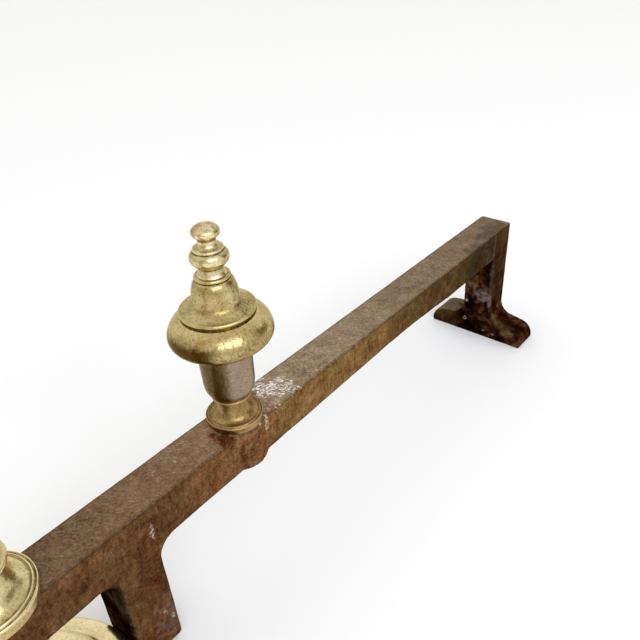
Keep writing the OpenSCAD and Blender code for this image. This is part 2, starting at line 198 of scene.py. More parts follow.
def bump(tree, height, depth, under=None, strength=1.0):
    """A bump of a depth in metres, laid over another one."""
    values = {"Height": height, "Distance": depth, "Strength": strength}
    if under is not None:
        values["Normal"] = under
    return add_node(tree, "ShaderNodeBump", values).outputs["Normal"]


# ----------------------------------------------------------------------- brass

# The tint of brass that is seen edge-on
BRASS_RIM = (0.95, 0.86, 0.66, 1.0)
# The lathe's fine lines lie around each piece, so this grain is pressed flat along z.
LATHE_LINES = (1.0, 1.0, 30.0)


def old_brass(name, bright, dull, deep, shine):
    """Turned brass that was polished long ago: bright crests, dark grooves of grime and painted
    shade, brown patches of tarnish with painted shade and dark reflections.
    """
    material, tree, shader = new_material(name)
    place = object_place(tree)
    clouds = grain(tree, place, 55.0, detail=5.0, roughness=0.6, distortion=0.5)
    blotch = grain(tree, place, 240.0, detail=3.0, roughness=0.6)
    specks = grain(tree, place, 760.0, detail=3.0, roughness=0.7)
    fine = grain(tree, place, 1700.0, detail=2.0)
    turning_lines = grain(tree, object_place(tree, LATHE_LINES), 60.0, detail=2.0)
    groove = mask(tree, "groove")
    crest = mask(tree, "crest")
    tarnish_and_shade = mask(tree, "tarnish_and_shade")

    dulled = sum_of(tree, ((clouds, 1.2), (blotch, 0.35), (specks, 0.9)))
    dulled = step_between(tree, dulled, 0.18, 0.86)
    colour = mix_colour(tree, dulled, bright, dull)
    # Brown: random tarnish, and on the log stop painted shade and dark reflections too.
    brown = sum_of(tree, ((tarnish_and_shade, 1.6), (blotch, 0.45), (specks, 0.7)))
    brown = step_between(tree, brown, 0.30, 1.30)
    colour = mix_colour(tree, brown, colour, deep)
    pitted = times(tree, step_between(tree, specks, 0.58, 0.70), 0.60)
    colour = mix_colour(tree, pitted, colour, [0.8 * c for c in deep])
    # Darker in the turned grooves: grime, with painted shade in the hollows.
    grime_and_shade = times(
        tree,
        step_between(tree, groove, 0.15, 0.95),
        mix_value(tree, step_between(tree, blotch, 0.35, 0.65), 0.45, 0.90),
    )
    colour = mix_colour(tree, grime_and_shade, colour, [0.6 * c for c in deep])
    polish = times(tree, crest, mix_value(tree, brown, 0.9, 0.3), clamp=True)
    colour = mix_colour(tree, polish, colour, bright)
    tree.links.new(colour, shader.inputs["Base Color"])
    shader.inputs["Metallic"].default_value = 1.0
    shader.inputs["Specular Tint"].default_value = BRASS_RIM
    shader.inputs["Coat Weight"].default_value = 0.1
    shader.inputs["Coat Roughness"].default_value = 0.15

    rough = mix_value(tree, dulled, shine, shine + 0.10)
    for amount, more in ((grime_and_shade, 0.35), (pitted, 0.22), (brown, 0.06)):
        rough = math_node(tree, "ADD", rough, times(tree, amount, more))
    tree.links.new(rough, shader.inputs["Roughness"])

    normal = bump(tree, clouds, 0.0012, strength=0.30)
    normal = bump(tree, turning_lines, 0.00006, normal, strength=0.5)
    normal = bump(tree, blotch, 0.00025, normal, strength=0.45)
    normal = bump(tree, specks, 0.00016, normal, strength=0.60)
    normal = bump(tree, fine, 0.00005, normal, strength=0.5)
    tree.links.new(normal, shader.inputs["Normal"])
    return material


# ------------------------------------------------------------------------ iron

# Runs of colour from the darkest to the palest grain
SIDE_COLOURS = (
    (0.10, (0.034, 0.014, 0.004)),
    (0.34, (0.098, 0.050, 0.017)),
    (0.55, (0.160, 0.088, 0.031)),
    (0.76, (0.225, 0.138, 0.060)),
    (0.95, (0.350, 0.250, 0.140)),
)
TOP_COLOURS = (
    (0.08, (0.070, 0.044, 0.024)),
    (0.33, (0.158, 0.108, 0.062)),
    (0.55, (0.230, 0.166, 0.102)),
    (0.76, (0.300, 0.228, 0.150)),
    (0.95, (0.480, 0.410, 0.310)),
)
# Near-black iron of the rear foot, and the painted shade of the front leg's face towards the column
BURNT_AND_SHADE_COLOURS = (
    (0.22, (0.0030, 0.0010, 0.0006)),
    (0.44, (0.014, 0.004, 0.0015)),
    (0.58, (0.050, 0.016, 0.0050)),
    (0.72, (0.090, 0.056, 0.023)),
    (0.92, (0.170, 0.120, 0.060)),
)
# Worn bare iron; its palest, near-white flecks are painted glints
BARE_AND_GLINT_COLOURS = (
    (0.37, (0.110, 0.085, 0.055)),
    (0.46, (0.300, 0.240, 0.170)),
    (0.53, (0.740, 0.670, 0.580)),
    (0.60, (0.980, 0.965, 0.940)),
)
RUST_COLOURS = ((0.38, (0.040, 0.010, 0.003)), (0.62, (0.135, 0.045, 0.015)))
# Broad drifts of the brown, from reddish to greenish, and three more shifts of it
DRIFT_TINTS = ((0.34, (1.08, 0.92, 0.88)), (0.50, (1.0, 1.0, 1.0)), (0.66, (0.92, 1.0, 0.90)))
RED_SIDE_TINT = (1.06, 0.93, 1.02)
RED_TOP_TINT = (0.93, 0.77, 0.68)
TAN_TINT = (0.78, 0.62, 0.42)

CREASE_BROWN = (0.045, 0.018, 0.007)
ARRIS_BROWN = (0.040, 0.022, 0.008)
SCUFF_TAN = (0.36, 0.30, 0.25)
SOOT_BLACK = (0.027, 0.026, 0.014)
# A pale grey haze, which also paints the highlights along the rear foot's right front corner.
HAZE_AND_HIGHLIGHT_GREY = (0.34, 0.29, 0.28)
CHIP_AND_GLINT_CREAM = (0.50, 0.43, 0.32)

# Scuffs and flecks lie slantwise on the bar's top, turned by this many degrees.
SCUFF_TURN = -39.5


def iron_side(tree, clouds, mottle, speckle, hue):
    """The brown of the casting's upright faces."""
    upright = grain(tree, object_place(tree, (1.0, 1.0, 0.22)), 420.0, detail=3.0, roughness=0.6)
    grains = sum_of(tree, ((clouds, 0.8), (mottle, 0.7), (upright, 0.6), (speckle, 0.8)))
    side = ramp(tree, grains, SIDE_COLOURS)
    side = mix_colour(tree, 1.0, side, hue, "MULTIPLY")
    side = mix_colour(tree, mask(tree, "red_side"), side, RED_SIDE_TINT, "MULTIPLY")
    crease = grain(tree, object_place(tree, (1.0, 0.7, 1.3)), 70.0, detail=3.0, distortion=1.2)
    crease = math_node(tree, "ABSOLUTE", math_node(tree, "SUBTRACT", crease, 0.5))
    crease = mix_value(tree, step_between(tree, crease, 0.0, 0.022), 0.55, 0.0)
    crease = times(tree, crease, mask(tree, "red_side"))
    side = mix_colour(tree, crease, side, CREASE_BROWN)
    return shaded(tree, side, mask(tree, "side_tone"))


def iron_top(tree, clouds, mottle, speckle, hue):
    """The paler brown of its upward faces, scuffed by logs; partly paler as painted light from
    above.
    """
    top = ramp(tree, sum_of(tree, ((clouds, 0.7), (mottle, 0.6), (speckle, 1.2))), TOP_COLOURS)
    top = mix_colour(tree, 0.5, top, hue, "MULTIPLY")
    top = mix_colour(tree, mask(tree, "front_red"), top, RED_TOP_TINT, "MULTIPLY")
    scuffs = grain(tree, object_place(tree, (0.35, 1.7, 1.0), SCUFF_TURN), 520.0, detail=3.0)
    scuffed = times(tree, step_between(tree, scuffs, 0.54, 0.68), 0.34)
    top = mix_colour(tree, scuffed, top, SCUFF_TAN)
    return shaded(tree, top, mask(tree, "top_tone"))


def old_iron(name):
    """Sand-cast iron: brown rust film, paler on top (partly painted light from above), with soot,
    rust and worn patches, and painted shade, highlights and glints.
    """
    material, tree, shader = new_material(name)
    place = object_place(tree)
    clouds = grain(tree, place, 60.0, detail=5.0, roughness=0.6, distortion=0.3)
    mottle = grain(tree, place, 240.0, detail=4.0, roughness=0.65)
    speckle = grain(tree, place, 640.0, detail=3.0, roughness=0.65)
    up = add_node(
        tree,
        "ShaderNodeSeparateXYZ",
        {0: tree.nodes.new("ShaderNodeNewGeometry").outputs["Normal"]},
    ).outputs["Z"]
    # Upward faces take the paler top colours: dust and scuffs, and partly painted light from above,
    # the upright faces being the shaded copy.
    on_top = step_between(tree, up, 0.45, 0.80)
    drift = grain(tree, object_place(tree, (1.0, 0.8, 0.6)), 75.0, detail=4.0, roughness=0.6)
    hue = ramp(tree, drift, DRIFT_TINTS)
    side = iron_side(tree, clouds, mottle, speckle, hue)
    top = iron_top(tree, clouds, mottle, speckle, hue)
    colour = mix_colour(tree, on_top, side, top)

    worn_arris = mix_value(tree, step_between(tree, mottle, 0.4, 0.6), 0.15, 0.6)
    arris = times(tree, mask(tree, "arris"), worn_arris)
    colour = mix_colour(tree, arris, colour, ARRIS_BROWN)
    red = times(tree, mask(tree, "rust"), step_between(tree, mottle, 0.22, 0.48), clamp=True)
    colour = mix_colour(tree, red, colour, ramp(tree, speckle, RUST_COLOURS))
    soot = times(tree, mask(tree, "soot"), step_between(tree, clouds, 0.30, 0.52), clamp=True)
    colour = mix_colour(tree, soot, colour, SOOT_BLACK)
    burnt_and_shade = ramp(
        tree, sum_of(tree, ((clouds, 1.7), (mottle, 0.4), (speckle, 0.2))), BURNT_AND_SHADE_COLOURS
    )
    colour = mix_colour(tree, mask(tree, "dark"), colour, burnt_and_shade)
    # Painted shade: the front leg's face towards the column, near black.
    colour = mix_colour(tree, mask(tree, "painted_leg_shade"), colour, shaded(tree, burnt_and_shade, 0.35))
    # Pale grey: a whitish stain on the foot's front, and painted highlights along the stem's right
    # front corner.
    haze_and_highlight = times(tree, mask(tree, "haze_and_highlight"), step_between(tree, mottle, 0.2, 0.7))
    colour = mix_colour(tree, haze_and_highlight, colour, HAZE_AND_HIGHLIGHT_GREY)
    # Pale cream: chips and dots of pale wear, and painted glints on small lumps.
    pale = times(tree, mask(tree, "pale"), step_between(tree, speckle, 0.40, 0.60), clamp=True)
    colour = mix_colour(tree, pale, colour, CHIP_AND_GLINT_CREAM)
    fleck_place = object_place(tree, (0.6, 1.5, 1.0), SCUFF_TURN)
    flecks = grain(tree, fleck_place, 760.0, detail=3.0, roughness=0.65)
    worn = sum_of(tree, ((mask(tree, "worn"), 1.15), (mottle, 1.3), (flecks, 2.6)))
    worn = step_between(tree, worn, 0.58, 1.18)
    # Worn bare iron, its palest flecks painted glints.
    bare_and_glint = ramp(tree, flecks, BARE_AND_GLINT_COLOURS)
    tan = mix_colour(tree, 1.0, bare_and_glint, TAN_TINT, "MULTIPLY")
    bare_and_glint = mix_colour(tree, step_between(tree, mask(tree, "worn"), 0.5, 0.75), tan, bare_and_glint)
    colour = mix_colour(tree, worn, colour, bare_and_glint)
    tree.links.new(colour, shader.inputs["Base Color"])

    rough = mix_value(tree, mottle, 0.50, 0.85)
    rough = mix_value(tree, mask(tree, "dark"), rough, 0.42)
    tree.links.new(rough, shader.inputs["Roughness"])
    shader.inputs["Specular IOR Level"].default_value = 0.0

    normal = bump(tree, clouds, 0.0011, strength=0.5)
    normal = bump(tree, mottle, 0.0007, normal, strength=0.6)
    normal = bump(tree, speckle, 0.00045, normal, strength=0.7)
    tree.links.new(normal, shader.inputs["Normal"])
    return material


def rod_iron(name):
    """Dark wrought iron of the rods and the nut."""
    material, tree, shader = new_material(name)
    place = object_place(tree)
    clouds = grain(tree, place, 130.0, detail=5.0, roughness=0.65)
    grit = grain(tree, place, 1200.0, detail=3.0)
    colour = mix_colour(
        tree, step_between(tree, clouds, 0.35, 0.68), (0.035, 0.024, 0.018), (0.11, 0.065, 0.038)
    )
    tree.links.new(colour, shader.inputs["Base Color"])
    rough = mix_value(tree, clouds, 0.5, 0.85)
    tree.links.new(rough, shader.inputs["Roughness"])
    shader.inputs["Metallic"].default_value = 0.4
    normal = bump(tree, clouds, 0.0005, strength=0.5)
    normal = bump(tree, grit, 0.0001, normal, strength=0.6)
    tree.links.new(normal, shader.inputs["Normal"])
    return material


# Each finish: its bright, dull and deep brown colours, and how rough its polish is
STOP_BRASS = old_brass(
    "stop_brass", (0.60, 0.480, 0.23), (0.34, 0.240, 0.085), (0.075, 0.038, 0.001), 0.18
)
TOP_BRASS = old_brass(
    "stop_top_brass", (0.84, 0.74, 0.46), (0.50, 0.385, 0.17), (0.130, 0.072, 0.006), 0.15
)
CUP_BRASS = old_brass(
    "cup_brass", (0.36, 0.28, 0.20), (0.255, 0.175, 0.115), (0.090, 0.046, 0.000), 0.26
)
PEDESTAL_BRASS = old_brass(
    "pedestal_brass", (0.42, 0.285, 0.12), (0.165, 0.09, 0.02), (0.080, 0.040, 0.002), 0.28
)
FRONT_BRASS = old_brass(
    "front_brass", (0.86, 0.74, 0.44), (0.66, 0.52, 0.26), (0.30, 0.19, 0.06), 0.22
)
COLUMN_BRASS = old_brass(
    "column_brass", (0.74, 0.62, 0.35), (0.48, 0.365, 0.165), (0.19, 0.11, 0.02), 0.20
)
IRON = old_iron("billet_iron")
ROD_IRON = rod_iron("wrought_rod_iron")


# --------------------------------------------------------- turned brass pieces

# Pieces of each arc and bend of an outline
STEPS = 14


def arc(centre, radius, start, end):
    """Points on a round, from one angle to another in degrees."""
    points = []
    for i in range(STEPS + 1):
        angle = math.radians(start + (end - start) * i / STEPS)
        points.append(
            (centre[0] + radius * math.cos(angle), centre[1] + radius * math.sin(angle))
        )
    return points


def bend(first, towards, last):
    """Points on a curve that leaves the first point towards the second and ends at the last."""
    points = []
    for i in range(STEPS + 1):
        t = i / STEPS
        points.append(
            tuple(
                (1 - t) ** 2 * a + 2 * t * (1 - t) * b + t * t * c
                for a, b, c in zip(first, towards, last)
            )
        )
    return points


def half_round(outer_r, foot, radius):
    """The outside of a bead that stands on a height."""
    return arc((outer_r - radius, foot + radius), radius, -90, 90)


def pedestal_outline():
    flange_r, flange_h, rim_w, groove, neck_r, height = 17.0, 5.2, 1.8, 0.5, 8.8, 17.0
    line_r = flange_r - rim_w
    return (
        [(0, 0), (flange_r - 0.5, 0)]
        + bend(
            (flange_r, 0.7 * flange_h),
            (flange_r, 0.88 * flange_h),
            (flange_r - 0.28 * rim_w, 0.9 * flange_h),
        )
        + [(flange_r - 0.5 * rim_w, 0.9 * flange_h - groove)]
        + bend(
            (line_r + 0.3 * rim_w, 0.92 * flange_h),
            (line_r + 0.15 * rim_w, flange_h),
            (line_r, flange_h),
        )
        + [(line_r - 0.3, flange_h - 0.5)]
        + bend(
            (line_r - 0.9, flange_h - 0.2),
            (neck_r + 0.6, flange_h + 1),
            (neck_r, height - 1.2),
        )
        + [(neck_r + 0.2, height), (0, height)]
    )


def ring_outline(outer_r, height):
    return [(0, 0)] + half_round(outer_r, 0, height / 2) + [(0, height)]


def cup_outline():
    foot_r, cup_r, rim_r, round_h, height = 11.0, 14.8, 15.6, 9.5, 33.9
    return (
        [(0, 0), (foot_r, 0)]
        + bend((foot_r, 0.4), (cup_r - 0.3, 0.34 * round_h), (cup_r, round_h))
        + [(rim_r, height), (0, height)]
    )


def ball_outline():
    height, belt, ball_r, core_r, foot_r, top_r = 21.0, 9.1, 29.2, 4.0, 15.7, 21.0
    width = ball_r - core_r
    low = -math.acos((foot_r - core_r) / width)
    high = math.acos((top_r - core_r) / width)
    round_side = []
    for i in range(3 * STEPS + 1):
        angle = low + (high - low) * i / (3 * STEPS)
        depth = belt / math.sin(-low) if angle < 0 else (height - belt) / math.sin(high)
        round_side.append((core_r + width * math.cos(angle), belt + depth * math.sin(angle)))
    return [(0, 0)] + round_side + [(0, height)]


BELL_FOOT_H = 1.3


def bell_outline():
    foot_r, foot_h, lip_r, lip_h, wall_r = 19.8, BELL_FOOT_H, 21.1, 2.2, 13.3
    height, top_r, bead_r, bead_h = 21.1, 9.6, 9.8, 2.2
    return (
        [(0, 0), (foot_r, 0), (foot_r, foot_h)]
        + arc((lip_r - lip_h / 2, foot_h + lip_h / 2), lip_h / 2, -60, 90)
        + bend((lip_r - 1.4, foot_h + lip_h), (wall_r + 0.9, 0.24 * height), (wall_r, 0.4 * height))
        + bend(
            (wall_r - 0.5, 0.53 * height), (top_r + 2.4, 0.92 * height), (top_r - 0.4, height)
        )
        + arc((bead_r - bead_h / 2, height + bead_h / 2), bead_h / 2, -80, 90)
        + [(0, height + bead_h)]
    )


def knop_outline():
    height, neck_r, edge_r, knop_r, disc_r, top_neck_r = 17.9, 6.6, 8.0, 10.4, 8.2, 4.9
    return (
        [(0, 0)]
        + bend((neck_r + 1.4, 0), (neck_r - 0.8, 0.2 * height), (neck_r + 0.6, 0.29 * height))
        + [(edge_r, 0.3 * height)]
        + bend(
            (edge_r + 0.2, 0.33 * height), (knop_r + 0.3, 0.44 * height), (knop_r, 0.57 * height)
        )
        + bend((knop_r, 0.58 * height), (knop_r - 0.3, 0.7 * height), (disc_r - 0.4, 0.77 * height))
        + [(disc_r, 0.79 * height), (disc_r, 0.84 * height)]
        + bend(
            (disc_r - 0.6, 0.86 * height), (top_neck_r + 0.5, 0.89 * height), (top_neck_r, height)
        )
        + [(0, height)]
    )


def button_outline():
    height, neck_r, button_r = 10.3, 4.9, 7.5
    return (
        [(0, 0), (neck_r, 0)]
        + bend((neck_r, 0.16 * height), (neck_r, 0.22 * height), (button_r - 1, 0.36 * height))
        + bend(
            (button_r - 0.6, 0.4 * height),
            (button_r + 0.5, 0.57 * height),
            (button_r - 0.5, 0.7 * height),
        )
        + bend((button_r - 0.7, 0.73 * height), (0.55 * button_r, height), (0, height))
    )


def base_outline():
    """The hollow round base: from the rod's hole under its dome, out, and back over the top."""
    base_r, foot_h, cove, cove_top, roll_r, height = 52.47, 4.5, 4.5, 14.1, 5.0, 48.0
    dome_r, dome_top_r, wall = 40.0, 17.0, 4.0
    ledge = cove_top + 2 * roll_r - 1.5
    middle = 0.5 * (dome_r + dome_top_r)
    return (
        [
            (0, height - wall),
            (dome_top_r - wall + 1, height - wall),
            (middle - wall, height - 9 - 2 * wall),
            (base_r - cove - 1.5 - wall, cove_top),
            (base_r - cove - 1.5 - wall, 0),
            (base_r, 0),
            (base_r, foot_h),
        ]
        + bend((base_r - 1.2, foot_h), (base_r - cove - 1.5, foot_h + 1), (base_r - cove, cove_top))
        + arc((base_r - roll_r, cove_top + roll_r), roll_r, -75, 100)
        + [(dome_r + 1, ledge)]
        + bend((dome_r, ledge + 1), (dome_r - 3, height - 11), (middle, height - 9))
        + bend((middle, height - 9), (dome_top_r + 3, height - 8), (dome_top_r, height))
        + [(0, height)]
    )


def baluster_outline():
    height, neck_r, belly_r, flange_r, flange_h = 24.8, 10.5, 16.0, 19.0, 3.6
    top = height - flange_h
    return (
        [(0, 0)]
        + bend((neck_r + 4, 0), (neck_r - 1, 0.08 * top), (neck_r + 0.5, 0.22 * top))
        + bend((neck_r + 1, 0.24 * top), (belly_r + 4, 0.5 * top), (neck_r + 1, 0.78 * top))
        + bend((neck_r + 0.5, 0.8 * top), (neck_r, 0.95 * top), (flange_r - 3, top))
        + half_round(flange_r, top, flange_h / 2)
        + [(0, height)]
    )


def vase_outline():
    height, foot_r, vase_r, neck_r = 74.0, 11.5, 22.5, 11.0
    return (
        [(0, 0), (foot_r + 2, 0), (foot_r + 2, 2)]
        + bend((foot_r, 3), (foot_r + 0.5, 0.3 * height), (vase_r - 2, 0.62 * height))
        + bend(
            (vase_r - 1.6, 0.65 * height), (vase_r + 3, 0.82 * height), (neck_r + 4, 0.9 * height)
        )
        + bend((neck_r + 3, 0.91 * height), (neck_r - 1, 0.92 * height), (neck_r, height))
        + [(0, height)]
    )


def collar_outline():
    height, collar_r = 8.0, 18.5
    fillet = 0.18 * height
    return (
        [(0, 0), (collar_r - 3, 0), (collar_r - 3, fillet)]
        + half_round(collar_r, fillet, height / 2 - fillet)
        + [(collar_r - 3, height - fillet), (collar_r - 3, height), (0, height)]
    )


def spool_outline():
    height, waist_r = 22.0, 10.5
    return (
        [(0, 0), (waist_r + 4, 0)]
        + bend((waist_r + 4, 1.5), (waist_r - 1, 0.15 * height), (waist_r, 0.6 * height))
        + bend((waist_r, 0.62 * height), (waist_r + 0.4, 0.9 * height), (waist_r + 2.6, height))
        + [(0, height)]
    )


def grown(outline, scale):
    return [(r * scale, h * scale) for r, h in outline]


# Two points nearer than this are one, and a turn of fewer degrees than this is no corner.
SAME_POINT = 1e-4
CORNER_TURN = 14
CORNER_PARTS = 4


def eased(outline, radius):
    """Cuts each sharp corner of an outline into a small curve, as polishing does."""
    out = [outline[0]]
    for before, here, after in zip(outline, outline[1:], outline[2:]):
        to_before = Vector(before) - Vector(here)
        to_after = Vector(after) - Vector(here)
        if min(to_before.length, to_after.length) < SAME_POINT:
            continue
        turn = math.pi - to_before.angle(to_after)
        if turn < math.radians(CORNER_TURN):
            out.append(here)
            continue
        reach = min(radius, 0.45 * to_before.length, 0.45 * to_after.length)
        start = Vector(here) + to_before.normalized() * reach
        end = Vector(here) + to_after.normalized() * reach
        for i in range(CORNER_PARTS + 1):
            t = i / CORNER_PARTS
            point = (1 - t) ** 2 * start + 2 * t * (1 - t) * Vector(here) + t * t * end
            out.append(tuple(point))
    out.append(outline[-1])
    return out


def evenly(outline, spacing):
    """Adds points to an outline's long straight stretches."""
    out = [outline[0]]
    for a, b in zip(outline, outline[1:]):
        length = math.dist(a, b)
        if length < SAME_POINT:
            continue
        parts = max(1, math.ceil(length / spacing))
        for i in range(1, parts + 1):
            t = i / parts
            out.append((a[0] + (b[0] - a[0]) * t, a[1] + (b[1] - a[1]) * t))
    return out


# An outline that turns out by less than this angle (radians) is round, not a crest.
CREST_TURN = 0.35
GROOVE_REACH = 1.3


def curvature(outline, reach):
    """How much an outline turns inwards (grooves) and outwards (crests) near each point."""
    grooves, crests = [], []
    along = [0.0]
    for a, b in zip(outline, outline[1:]):
        along.append(along[-1] + math.dist(a, b))
    count = len(outline)
    for i, here in enumerate(outline):
        low = i
        while low > 0 and along[i] - along[low] < reach:
            low -= 1
        high = i
        while high < count - 1 and along[high] - along[i] < reach:
            high += 1
        first = Vector(here) - Vector(outline[low])
        second = Vector(outline[high]) - Vector(here)
        turn = 0.0
        if first.length > 1e-6 and second.length > 1e-6:
            cross = first.x * second.y - first.y * second.x
            turn = math.atan2(cross, first.dot(second))
        grooves.append(max(0.0, -turn))
        crests.append(max(0.0, turn - CREST_TURN))
    return grooves, crests


# The seam and the poles of a turned piece are joined within this distance, in metres.
SEAM_GAP = 0.000004


def turned_tree():
    """Revolves an outline, drawn as radius and height, about an upright axis."""
    tree = bpy.data.node_groups.new("turned_piece", "GeometryNodeTree")
    tree.is_modifier = True
    face = tree.interface
    face.new_socket("Outline", in_out="INPUT", socket_type="NodeSocketGeometry")
    facets = face.new_socket("Facets around", in_out="INPUT", socket_type="NodeSocketInt")
    axis_y = face.new_socket("Axis along the bar", in_out="INPUT", socket_type="NodeSocketFloat")
    foot = face.new_socket("Foot height", in_out="INPUT", socket_type="NodeSocketFloat")
    finish = face.new_socket("Finish", in_out="INPUT", socket_type="NodeSocketMaterial")
    face.new_socket("Geometry", in_out="OUTPUT", socket_type="NodeSocketGeometry")
    given = tree.nodes.new("NodeGroupInput").outputs
    outline = given["Outline"]

    size = add_node(tree, "GeometryNodeAttributeDomainSize", {"Geometry": outline})
    rows = size.outputs["Point Count"]
    columns = math_node(tree, "ADD", given["Facets around"], 1.0)
    sheet = add_node(
        tree,
        "GeometryNodeMeshGrid",
        {"Size X": 1.0, "Size Y": 1.0, "Vertices X": columns, "Vertices Y": rows},
    ).outputs["Mesh"]
    spot = add_node(
        tree, "ShaderNodeSeparateXYZ", {0: tree.nodes.new("GeometryNodeInputPosition").outputs[0]}
    ).outputs
    # The sheet is one metre wide and high about its middle: across it goes round the axis,
    # and up it goes from row to row of the outline.
    turn = times(tree, math_node(tree, "ADD", spot["X"], 0.5), 2 * math.pi)
    last_row = math_node(tree, "SUBTRACT", rows, 1.0)
    row = times(tree, math_node(tree, "ADD", spot["Y"], 0.5), last_row)
    row = math_node(tree, "ROUND", row)

    def from_outline(value, data_type):
        """The outline's value at this row."""
        picked = add_node(
            tree, "GeometryNodeSampleIndex", data_type=data_type, domain="POINT", clamp=True
        )
        tree.links.new(outline, picked.inputs["Geometry"])
        tree.links.new(value, picked.inputs["Value"])
        tree.links.new(row, picked.inputs["Index"])
        return picked.outputs["Value"]

    position = tree.nodes.new("GeometryNodeInputPosition").outputs[0]
    drawn = add_node(
        tree, "ShaderNodeSeparateXYZ", {0: from_outline(position, "FLOAT_VECTOR")}
    ).outputs
    x = times(tree, drawn["X"], math_node(tree, "COSINE", turn))
    y = times(tree, drawn["X"], math_node(tree, "SINE", turn))
    y = math_node(tree, "ADD", y, given["Axis along the bar"])
    z = math_node(tree, "ADD", drawn["Z"], given["Foot height"])
    there = add_node(tree, "ShaderNodeCombineXYZ", {"X": x, "Y": y, "Z": z}).outputs[0]
    # The grooves and crests are kept while the sheet is still flat, because the row is read
    # from its place.
    shape = sheet
    for name in ("groove", "crest"):
        read = add_node(
            tree, "GeometryNodeInputNamedAttribute", {"Name": name}, data_type="FLOAT"
        ).outputs["Attribute"]
        kept = add_node(
            tree,
            "GeometryNodeStoreNamedAttribute",
            {"Geometry": shape, "Name": name},
            data_type="FLOAT",
            domain="POINT",
        )
        tree.links.new(from_outline(read, "FLOAT"), kept.inputs["Value"])
        shape = kept.outputs[0]
    shape = add_node(
        tree, "GeometryNodeSetPosition", {"Geometry": shape, "Position": there}
    ).outputs[0]
    shape = add_node(
        tree, "GeometryNodeMergeByDistance", {"Geometry": shape, "Distance": SEAM_GAP}
    ).outputs[0]
    shape = add_node(tree, "GeometryNodeSetShadeSmooth", {"Geometry": shape}).outputs[0]
    shape = add_node(tree, "GeometryNodeRealizeInstances", {"Geometry": shape}).outputs[0]
    shape = add_node(
        tree, "GeometryNodeSetMaterial", {"Geometry": shape, "Material": given["Finish"]}
    ).outputs[0]
    out = tree.nodes.new("NodeGroupOutput")
    tree.links.new(shape, out.inputs["Geometry"])
    names = {"facets": facets, "axis_y": axis_y, "foot": foot, "finish": finish}
    return tree, {key: socket.identifier for key, socket in names.items()}


TURNED, TURNED_INPUTS = turned_tree()


def smooth_step(value, low, high):
    """0 below low, 1 above high, smooth between."""
    t = min(1.0, max(0.0, (value - low) / (high - low)))
    return t * t * (3 - 2 * t)


# In radii of a patch: where its edge starts and ends, and where nothing of it is left
PATCH_EDGE = (0.55, 1.1)
FAR_OUT = 1.6


def near(point, centre, radii, ragged=0.35, size=9.0):
    """1 at the middle of a patch, 0 outside it, with a ragged edge."""
    far = math.sqrt(sum(((p - c) / r) ** 2 for p, c, r in zip(point, centre, radii)))
    if far > FAR_OUT:
        return 0.0
    far += ragged * noise.noise(Vector(point) / size)
    return 1.0 - smooth_step(far, *PATCH_EDGE)


def keep_masks(mesh, masks):
    """Stores each mask's values on the mesh's points, where the materials read them."""
    for name, values in masks.items():
        mesh.attributes.new(name, "FLOAT", "POINT").data.foreach_set("value", values)


def plain_mesh(host, name):
    """The mesh that a host object's modifiers make, on an object of its own."""
    graph = bpy.context.evaluated_depsgraph_get()
    made = bpy.data.meshes.new_from_object(host.evaluated_get(graph))
    made.name = name
    piece = bpy.data.objects.new(name, made)
    bpy.context.scene.collection.objects.link(piece)
    bpy.data.objects.remove(host)
    return piece


# Brown patches on the log stop's brass, partly tarnish and partly painted shade (the one on the
# cup's top lies under the ball): centre, radii, strength
STOP_TARNISH_AND_SHADE = (
    ((0, STOP_Y, 163.5), (18, 18, 2.5), 0.5),
    ((-5, -64, 230), (4, 5, 4), 0.3),
    ((0, -76, 111), (16, 8, 2.4), 0.45),
    ((14, -66, 111), (8, 9, 2.4), 0.45),
    ((-8, -67, 120), (5, 7, 6), 0.35),
)
# The way to the right in the photograph, on the floor's plane
PHOTO_RIGHT_X, PHOTO_RIGHT_Y = 0.77, 0.635


def stop_painted_shade(point):
    """Painted shade and dark reflections on the log stop, laid on as brown streaks: the cup's left,
    the ball's belt, the groove under the bell's lip, the flanks of its top.
    """
    across = PHOTO_RIGHT_X * point.x + PHOTO_RIGHT_Y * (point.y - STOP_Y)
    out = math.hypot(point.x, point.y - STOP_Y)
    wander = noise.noise(Vector((point.x, point.y, 0.4 * point.z)) / 5.0)
    # The cup is darker towards its left: a painted dark reflection.
    if CUP_FOOT < point.z < CUP_TOP:
        flank = across / max(out, 1.0) + 0.04 * wander
        return 0.20 + 0.66 * (1 - smooth_step(flank, -0.05, 0.55))
    flank = across / max(out, 1.0) + 0.12 * wander
    # Painted shade in the groove under the bell's lip.
    if BALL_TOP < point.z < BALL_TOP + BELL_FOOT_H:
        return 0.85
    # The ball is darker in a band about its belt, most on its left: a painted dark reflection.
    if point.z < BALL_TOP:
        height = point.z + 0.8 * wander - BALL_BELT
        band = smooth_step(height, -6.5, -2.0) * (1 - smooth_step(height, 2.5, 7.5))
        return 0.42 + 0.58 * band * (1 - 0.75 * smooth_step(flank, -0.25, 0.15))
    # The flanks above are darker at the left and right: painted dark reflections.
    left = 1 - smooth_step(flank, -0.95, -0.15)
    right = smooth_step(flank, 0.35, 0.85)
    return max(0.62 * left, 0.62 * right)


TARNISH_LUMP = 17.0
TARNISH_START = Vector((5.1, 0.7, 2.3))


def tarnish_and_shade(point, axis_y):
    """How brown the brass is at a point: random tarnish, and on the log stop painted shade and dark
    reflections too.
    """
    lump = noise.noise(point / TARNISH_LUMP + TARNISH_START)
    spread = 0.35 * smooth_step(lump, 0.05, 0.45)
    if axis_y == STOP_Y:
        for centre, radii, strength in STOP_TARNISH_AND_SHADE:
            spread = max(spread, strength * near(point, centre, radii, ragged=0.3, size=7.0))
        if point.z > CUP_FOOT:
            spread = max(spread, stop_painted_shade(point))
    return spread


FACETS = 128
EDGE_EASE = 0.3
ROW_SPACING = 0.7


